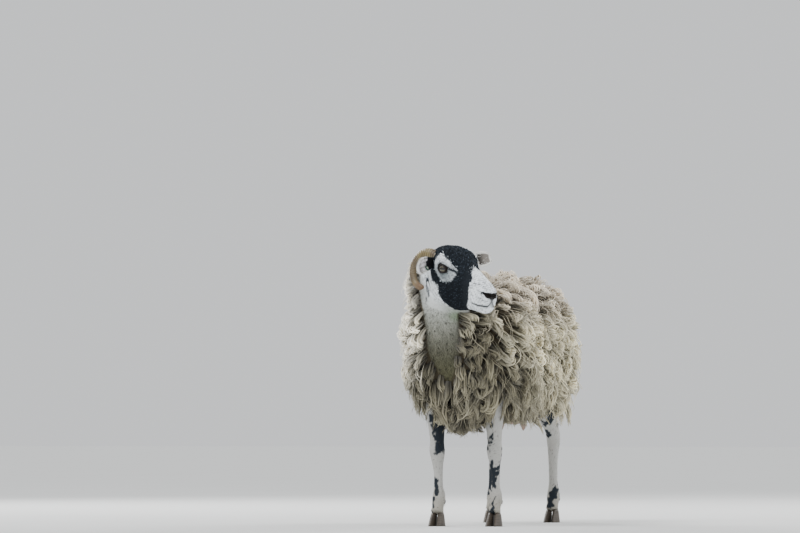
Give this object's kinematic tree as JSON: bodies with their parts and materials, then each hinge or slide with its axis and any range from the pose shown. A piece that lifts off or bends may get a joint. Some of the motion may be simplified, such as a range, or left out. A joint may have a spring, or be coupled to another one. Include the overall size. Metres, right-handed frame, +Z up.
{
  "type": "sheep",
  "caption": "Horned hill ewe standing in full shaggy fleece, black face with white muzzle and eye patches, curled ringed horns, head turned to her left.",
  "frame": {"origin": "on the floor under the middle of the whole model's bounding box", "axes": "+Z up, +Y towards the tail, +X to the ewe's own left; she faces -Y"},
  "size_m": [0.4218, 1.0202, 0.794],
  "materials": {
    "fleece": "long shaggy wool, beige grey",
    "face": "short hair, black with white muzzle and eye patches",
    "leg": "short hair, grey white with black patches",
    "ear": "short white hair, pinkish grey inside",
    "horn": "ringed natural horn, satin",
    "eye": "wet gloss, dark amber with a level slot pupil",
    "claw": "dark natural horn, satin",
    "udder": "bare pinkish skin with thin hair",
    "tag": "satin green moulded button with a pale stud"
  },
  "bodies": {
    "root": {"claw_fore_left_inner": "claw", "claw_fore_left_outer": "claw", "claw_fore_right_inner": "claw", "claw_fore_right_outer": "claw", "claw_hind_left_inner": "claw", "claw_hind_left_outer": "claw", "claw_hind_right_inner": "claw", "claw_hind_right_outer": "claw", "ear_left": "ear", "ear_right": "ear", "eye_left": "eye", "eye_right": "eye", "foreleg_left": "leg", "foreleg_right": "leg", "head": "face", "hindleg_left": "leg", "hindleg_right": "leg", "horn_left": "horn", "horn_right": "horn", "neck": "fleece", "tag": "tag", "tail": "fleece", "torso": "fleece", "udder": "udder"}
  },
  "joints": []
}
